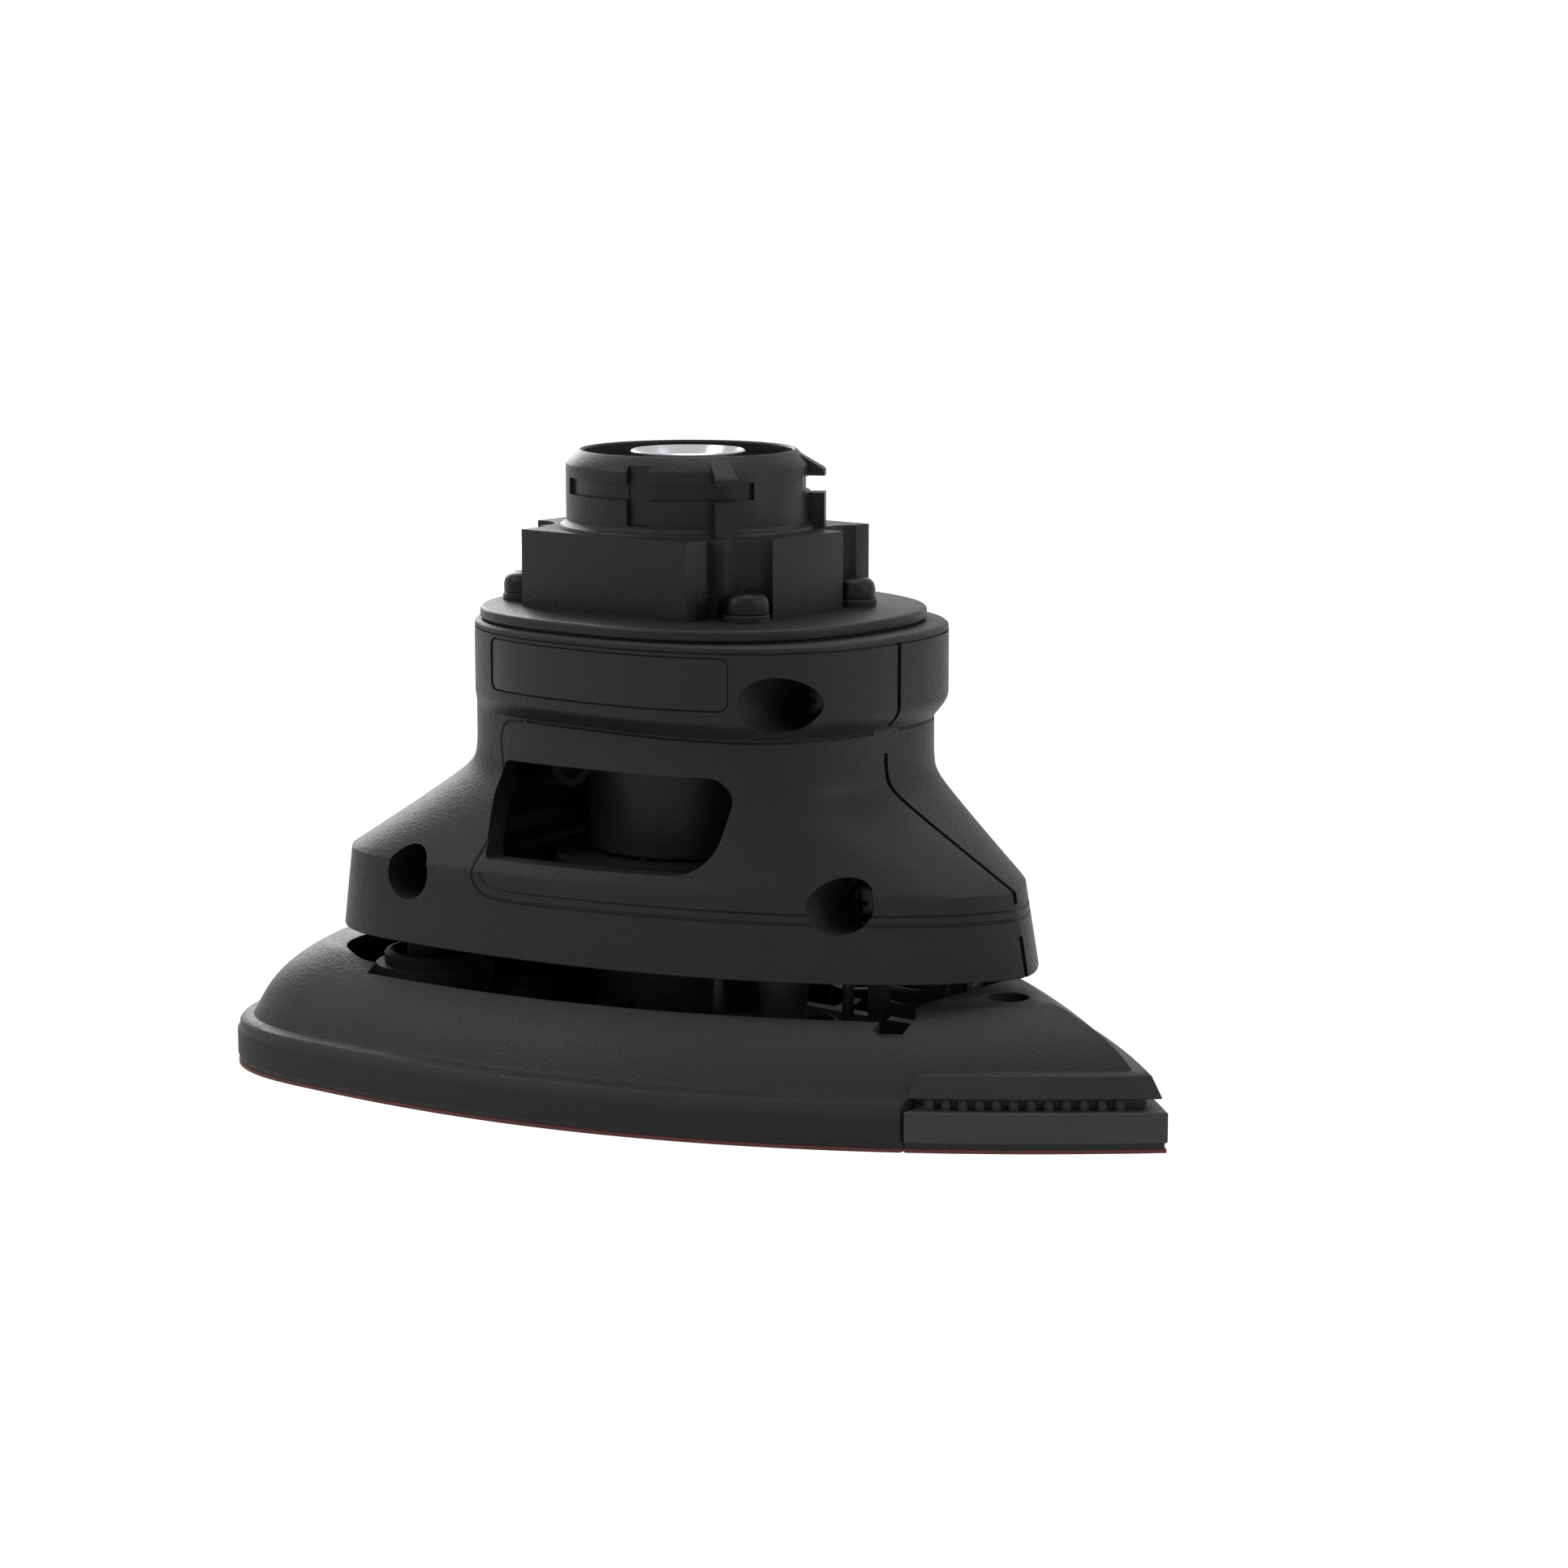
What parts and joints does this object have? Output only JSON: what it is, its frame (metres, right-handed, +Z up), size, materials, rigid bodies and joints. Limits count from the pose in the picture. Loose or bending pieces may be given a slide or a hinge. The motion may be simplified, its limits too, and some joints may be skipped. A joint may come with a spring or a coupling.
{
  "type": "orbital sander",
  "caption": "Orbital detail sanding head with an iron-shaped platen, a detachable pointed tip and a bayonet collar for its drive motor.",
  "frame": {"origin": "on the drive axis at the sanding face", "axes": "+X towards the pointed tip, +Z up along the drive axis out of the bayonet collar, +Y to the tool's left"},
  "size_m": [0.1398, 0.0916, 0.0867],
  "materials": {
    "housing_plastic": "moulded, fine leather grain",
    "adapter_plastic": "moulded, fine leather grain",
    "label_foil": "blank printed foil, satin",
    "black_screw": "black oxide",
    "bearing_steel": "ground",
    "machined_steel": "turned",
    "coupling_steel": "machined bright",
    "zinc_casting": "die cast",
    "fan_plastic": "moulded",
    "elastic_rubber": "moulded",
    "felt": "felt",
    "platen_plastic": "moulded, leather grain",
    "pad_foam": "fine closed cell",
    "hook_fabric": "hook tape",
    "abrasive_grit": "coated abrasive",
    "tip_plastic": "moulded, leather grain"
  },
  "bodies": {
    "housing": {"adapter_housing": "adapter_plastic", "adapter_screws": "black_screw", "flange_gasket": "elastic_rubber", "right_shell": "housing_plastic", "left_shell": "housing_plastic", "rating_plate": "label_foil", "shell_screws": "black_screw", "dust_outlet": "adapter_plastic", "bearing_carrier": "fan_plastic", "carrier_circlip": "machined_steel", "upper_outer_race": "bearing_steel", "upper_balls": "bearing_steel", "lower_outer_race": "bearing_steel", "lower_balls": "bearing_steel", "support_legs": "elastic_rubber", "leg_pins": "machined_steel"},
    "spindle": {"spindle": "machined_steel", "drive_coupling": "coupling_steel", "coupling_pin": "machined_steel", "shaft_circlip": "machined_steel", "upper_inner_race": "bearing_steel", "lower_inner_race": "bearing_steel", "bearing_spacer": "machined_steel", "fan": "fan_plastic", "counterweight": "zinc_casting", "crank_inner_race": "bearing_steel", "platen_bolt": "machined_steel", "bolt_washer": "machined_steel"},
    "platen": {"crank_outer_race": "bearing_steel", "crank_balls": "bearing_steel", "crank_circlip": "machined_steel", "dust_washer": "felt", "platen": "platen_plastic", "leg_cups": "elastic_rubber", "platen_pad": "pad_foam", "hook_layer": "hook_fabric", "abrasive_sheet": "abrasive_grit", "tip_holder": "tip_plastic", "tip_screw": "machined_steel", "tip_hook_layer": "hook_fabric", "tip_abrasive": "abrasive_grit"}
  },
  "joints": [
    {"name": "drive_spin", "type": "hinge", "parent": "housing", "child": "spindle", "pos_m": [0, 0, 0.05], "axis": [0, 0, 1], "continuous": true},
    {"name": "platen_orbit", "type": "hinge", "parent": "spindle", "child": "platen", "pos_m": [0.0008, 0, 0.0118], "axis": [0, 0, 1], "continuous": true}
  ],
  "couplings": [
    {"joint": "platen_orbit", "follows": "drive_spin", "ratio": -1}
  ]
}
